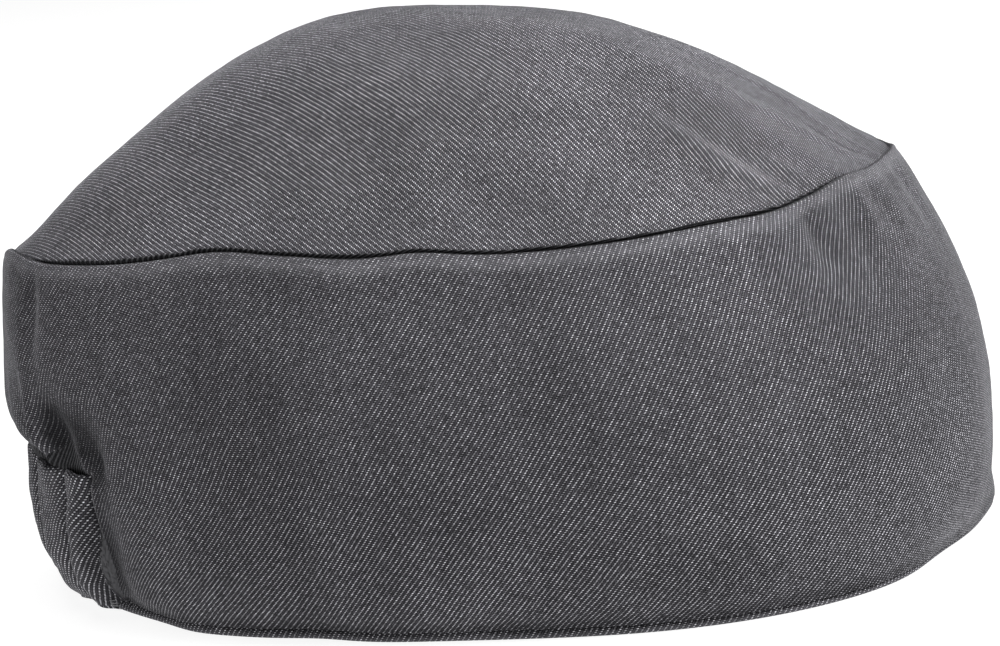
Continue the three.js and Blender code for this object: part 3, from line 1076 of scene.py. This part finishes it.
# Smooth steps: from low to high, and the values there.
STREAK_STEP = (0.30, 0.62)
STREAK_LEAST = 0.6
CLOUD_STEP = (0.3, 0.7, 0.84, 1.12)
PATCH_STEP = (0.3, 0.7, -0.05, 0.05)
SPECKLE_STEP = (0.34, 0.66, 0.64, 1.36)
STRAND_STEP = (0.35, 0.65)
# Close to the floor, in metres, the warp is darker and the flecks are brighter.
LOW_WARP_STEP = (0.012, 0.055, 0.75, 1.0)
LOW_FLECK_STEP = (0.012, 0.055, 1.35, 1.0)

# How much of the weft's colour wear and painted highlight add, and how much of the shade's colour painted
# shade adds.
PALE_WEAR_AND_HIGHLIGHT = 0.12
PAINTED_SHADE_DARKNESS = -0.85
SHADE = (0.004, 0.004, 0.005, 1.0)
BLACK = (0.0, 0.0, 0.0, 1.0)

# Relief: strength, and distance in metres.
WEAVE_RELIEF = (0.8, 0.00010)
FUZZ_RELIEF = (0.35, 0.00025)
STRAND_RELIEF = (0.6, 0.00008)

CLOTH_SURFACE = {
    "Roughness": 0.92,
    "Specular IOR Level": 0.10,
    "Sheen Weight": 0.30,
    "Sheen Roughness": 0.16,
    "Sheen Tint": (0.95, 0.95, 1.0, 1.0),
}
THREAD_SURFACE = {"Roughness": 0.6, "Sheen Weight": 0.2}
THREAD_DARKER = 0.55


def yarn_places(g, uv):
    """Where a spot lies across the warp's ends and along them, counted in yarns."""
    flat = g.split(uv)
    sway = g.noise(uv, *SWAY)
    ends = g.math("DIVIDE", flat[0], END_PITCH)
    picks = g.math("DIVIDE", flat[1], PICK_PITCH)
    across = g.math("ADD", ends, g.math("MULTIPLY", sway, SWAY_ACROSS))
    along = g.math("ADD", picks, g.math("MULTIPLY", sway, SWAY_ALONG))
    return across, along


def twill_line(g, across, along, slant):
    """How near a spot is to a slanted line of dots: there is one line for every four ends."""
    if slant < 0:
        place = g.math("SUBTRACT", g.math("ADD", along, across), 1.0)
    else:
        place = g.math("SUBTRACT", along, across)
    wave = g.math("COSINE", g.math("MULTIPLY", place, math.pi / 2))
    return g.math("ADD", 0.5, g.math("MULTIPLY", wave, 0.5))


def weft_dot(g, line, along):
    wave = g.math("COSINE", g.math("MULTIPLY", g.math("FRACT", along), 2 * math.pi))
    rise = g.math("SUBTRACT", PICK_LEVEL, g.math("MULTIPLY", wave, PICK_SWING))
    return g.math("MULTIPLY", g.math("POWER", line, LINE_POWER), g.math("POWER", rise, PICK_POWER))


def warp_height(g, line, across):
    from_end = g.math("ABSOLUTE", g.math("SUBTRACT", g.math("FRACT", across), 0.5))
    fall = g.math("POWER", g.math("MULTIPLY", from_end, 2.0), 2.0)
    round_end = g.math("SUBTRACT", 1.0, g.math("MULTIPLY", fall, END_ROUNDNESS))
    return g.math("MULTIPLY", g.math("SUBTRACT", 1.0, line), round_end)


def warp_tone(g, end, pick, height, level):
    """The warp's tone, which differs from end to end and from float to float, with painted shade where it
    dips between ends and beside the weft's dots.
    """
    float_number = g.math("FLOOR", g.math("DIVIDE", g.math("SUBTRACT", pick, end), 4.0))
    tone = g.math("ADD", WARP_TONE, g.math("MULTIPLY", g.cell(end, END_ROW), END_TONE))
    tone = g.math("ADD", tone, g.math("MULTIPLY", g.cell(end, float_number), FLOAT_TONE))
    # Painted shade: the warp darkens where its height falls, between ends and beside the weft's dots.
    tone = g.math("MULTIPLY", tone, g.math("ADD", GAP_SHADE_TONE, g.math("POWER", height, 2.0)))
    return g.math("MULTIPLY", tone, g.ramp(level, *LOW_WARP_STEP))


def dot_strength(g, dot, end, pick, uv, level, fleck):
    """How strongly the pale weft shows: it differs from dot to dot and in streaks."""
    varied = g.math("ADD", DOT_LEAST, g.math("MULTIPLY", g.cell(end, pick), DOT_VARIES))
    streak = g.ramp(g.noise(uv, *STREAK), *STREAK_STEP, STREAK_LEAST * fleck, fleck)
    streak = g.math("MULTIPLY", streak, g.ramp(level, *LOW_FLECK_STEP))
    return g.math("MULTIPLY", g.math("MULTIPLY", dot, varied), streak, clamp=True)


def uneven_grey(g, place):
    """Cloudy patches and fine speckle, as a grey that the cloth's colour is multiplied by."""
    cloud = g.ramp(g.noise(place, *CLOUD), *CLOUD_STEP)
    patch = g.ramp(g.noise(place, *PATCH), *PATCH_STEP)
    speckle = g.ramp(g.noise(place, *SPECKLE), *SPECKLE_STEP)
    value = g.math("MULTIPLY", g.math("ADD", cloud, patch), speckle)
    return g.fill(g.node("ShaderNodeCombineColor"), (value, value, value)).outputs[0]


def wear_and_painted_light_colour(g, colour, weft):
    # Paler towards the weft for wear and painted highlight; darker towards the shade colour for painted
    # shade.
    worn_and_painted_light = g.node("ShaderNodeAttribute", attribute_name="wear_and_painted_light").outputs["Fac"]
    colour = g.mix(g.math("MULTIPLY", worn_and_painted_light, PALE_WEAR_AND_HIGHLIGHT, clamp=True), colour, weft)
    return g.mix(g.math("MULTIPLY", worn_and_painted_light, PAINTED_SHADE_DARKNESS, clamp=True), colour, SHADE)


def twill(name, slant, warp, weft, fleck=1.0):
    """Three-up, one-down twill: dark warp floats with pale weft showing in slanted rows of dots."""
    g = Graph(name)
    uv = g.node("ShaderNodeUVMap", uv_map="Cloth").outputs[0]
    place = g.node("ShaderNodeTexCoord").outputs["Object"]
    level = g.split(place)[2]

    across, along = yarn_places(g, uv)
    end = g.math("FLOOR", across)
    pick = g.math("FLOOR", along)
    line = twill_line(g, across, along, slant)
    dot = weft_dot(g, line, along)
    warp_rise = warp_height(g, line, across)

    colour = g.mix(warp_tone(g, end, pick, warp_rise, level), BLACK, warp)
    colour = g.mix(dot_strength(g, dot, end, pick, uv, level, fleck), colour, weft)
    colour = g.mix(1.0, colour, uneven_grey(g, place), "MULTIPLY")
    # Wear, painted highlight and painted shade from each point's wear value.
    colour = wear_and_painted_light_colour(g, colour, weft)

    height = g.math("ADD", warp_rise, g.math("MULTIPLY", dot, DOT_HEIGHT))
    weave = g.relief(height, *WEAVE_RELIEF)
    fuzz = g.relief(g.noise(place, *FUZZ), *FUZZ_RELIEF)
    g.link(weave.outputs[0], fuzz.inputs["Normal"])
    return g.surface({"Base Color": colour, "Normal": fuzz.outputs[0]} | CLOTH_SURFACE)


def thread_material(name, colour):
    g = Graph(name)
    place = g.node("ShaderNodeTexCoord").outputs["Object"]
    strand = g.noise(place, *STRAND)
    dark = tuple(THREAD_DARKER * value for value in colour[:3]) + (1.0,)
    tone = g.mix(g.ramp(strand, *STRAND_STEP), dark, colour)
    twist = g.relief(strand, *STRAND_RELIEF)
    return g.surface({"Base Color": tone, "Normal": twist.outputs[0]} | THREAD_SURFACE)


# The cloth's face has dark warp and pale weft, and its reverse has them the other way round.
CROWN_WARP = (0.096, 0.093, 0.107, 1.0)
# The warp of the band, the channel and the hem is the crown's painted a little darker, as painted shade on
# these lower, upright parts.
SHADED_BAND_WARP = (0.090, 0.087, 0.100, 1.0)
WEFT = (0.82, 0.81, 0.87, 1.0)
PALE_WARP = (0.30, 0.30, 0.32, 1.0)
DARK_WEFT = (0.10, 0.10, 0.11, 1.0)
DARK_THREAD = (0.075, 0.074, 0.082, 1.0)
PALE_THREAD = (0.28, 0.28, 0.29, 1.0)
# How strongly each piece is flecked.
CROWN_FLECK = 1.35
BAND_FLECK = 1.08
CHANNEL_FLECK = 1.3

crown_face = twill("crown_twill_face", -1, CROWN_WARP, WEFT, CROWN_FLECK)
band_face = twill("band_twill_face", 1, SHADED_BAND_WARP, WEFT, BAND_FLECK)
channel_face = twill("channel_twill_face", 1, SHADED_BAND_WARP, WEFT, CHANNEL_FLECK)
hem_face = twill("hem_twill_face", 1, SHADED_BAND_WARP, WEFT)
crown_reverse = twill("crown_twill_reverse", 1, PALE_WARP, DARK_WEFT)
band_reverse = twill("band_twill_reverse", -1, PALE_WARP, DARK_WEFT)
dark_thread = thread_material("dark_thread", DARK_THREAD)
pale_thread = thread_material("pale_thread", PALE_THREAD)


# Putting the pieces together.


def finish_piece(piece, node, slot, *materials):
    for material in materials:
        piece.data.materials.append(material)
    if node:
        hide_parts(node)
    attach(piece, "root")


finish_piece(make_crown(), "crown_panel", "crown_twill", crown_face, crown_reverse)
finish_piece(make_band(), "side_band", "band_twill", band_face, band_reverse)
finish_piece(make_channel(), "elastic_casing", "band_twill", channel_face)
finish_piece(make_hem(), "edge_hem", "hem_twill", hem_face)
finish_piece(make_hem_stitches(), None, "hem_twill", dark_thread)
finish_piece(make_tacks(), None, "band_twill", pale_thread)


# Floor, light and camera, in metres and radians but for the lights' angles, which are degrees.

FLOOR_HALF = 9.0
FLOOR_SURFACE = {
    "Base Color": (0.20, 0.20, 0.20, 1.0),
    "Roughness": 0.9,
    "Emission Color": (1.0, 1.0, 1.0, 1.0),
    "Emission Strength": 0.90,
}
WORLD_COLOUR = (1.0, 1.0, 1.0, 1.0)
WORLD_STRENGTH = 0.10
LIGHT_TARGET = Vector((0.0, 0.0, 0.06))
# Soft round lights: name, azimuth, elevation, distance, size, power.
LIGHTS = [
    ("key", 74, 42, 1.6, 0.9, 27),
    ("top", 0, 82, 1.7, 1.2, 23),
    ("rear", 165, 38, 1.8, 0.9, 15),
]
CAMERA_AZIMUTH = 0.2618
CAMERA_ELEVATION = 0.1854
CAMERA_ROLL = 0.1071
CAMERA_DISTANCE = 0.62527
CAMERA_LENS = 102.77
CAMERA_SENSOR = 36.0
CAMERA_CLIP = (0.01, 100.0)
CAMERA_TARGET = Vector(((2.897 + SHIFT_X) * MM, 0.0, 49.30 * MM))


def direction_to(azimuth, elevation):
    """The direction from the cap to a spot at an azimuth round from its right side, and an elevation."""
    level = math.cos(elevation)
    return Vector((math.sin(azimuth) * level, -math.cos(azimuth) * level, math.sin(elevation)))


def make_floor():
    half = FLOOR_HALF
    corners = [(-half, -half, 0), (half, -half, 0), (half, half, 0), (-half, half, 0)]
    mesh = bpy.data.meshes.new("floor")
    mesh.from_pydata(corners, [], [(0, 1, 2, 3)])
    mesh.materials.append(Graph("floor_paper").surface(FLOOR_SURFACE))
    floor = bpy.data.objects.new("floor", mesh)
    bpy.context.scene.collection.objects.link(floor)


def area_light(name, azimuth, elevation, distance, size, power):
    light = bpy.data.lights.new(name, "AREA")
    light.shape = "DISK"
    light.size = size
    light.energy = power
    lamp = bpy.data.objects.new(name, light)
    back = direction_to(math.radians(azimuth), math.radians(elevation))
    lamp.location = LIGHT_TARGET + back * distance
    lamp.rotation_mode = "QUATERNION"
    lamp.rotation_quaternion = (-back).to_track_quat("-Z", "Y")
    bpy.context.scene.collection.objects.link(lamp)


def make_world():
    world = bpy.data.worlds.new("studio")
    world.use_nodes = True
    background = world.node_tree.nodes["Background"]
    background.inputs[0].default_value = WORLD_COLOUR
    background.inputs[1].default_value = WORLD_STRENGTH
    bpy.context.scene.world = world


def make_camera():
    data = bpy.data.cameras.new("camera")
    data.lens = CAMERA_LENS
    data.sensor_width = CAMERA_SENSOR
    data.clip_start, data.clip_end = CAMERA_CLIP
    camera = bpy.data.objects.new("camera", data)
    back = direction_to(CAMERA_AZIMUTH, CAMERA_ELEVATION)
    level = Vector((math.cos(CAMERA_AZIMUTH), math.sin(CAMERA_AZIMUTH), 0.0))
    upright = back.cross(level)
    right = level * math.cos(CAMERA_ROLL) - upright * math.sin(CAMERA_ROLL)
    up = level * math.sin(CAMERA_ROLL) + upright * math.cos(CAMERA_ROLL)
    place = Matrix((right, up, back)).transposed().to_4x4()
    place.translation = CAMERA_TARGET + back * CAMERA_DISTANCE
    camera.matrix_world = place
    bpy.context.scene.collection.objects.link(camera)
    bpy.context.scene.camera = camera


make_floor()
make_world()
for light in LIGHTS:
    area_light(*light)
make_camera()
bpy.context.scene.view_settings.view_transform = "Standard"
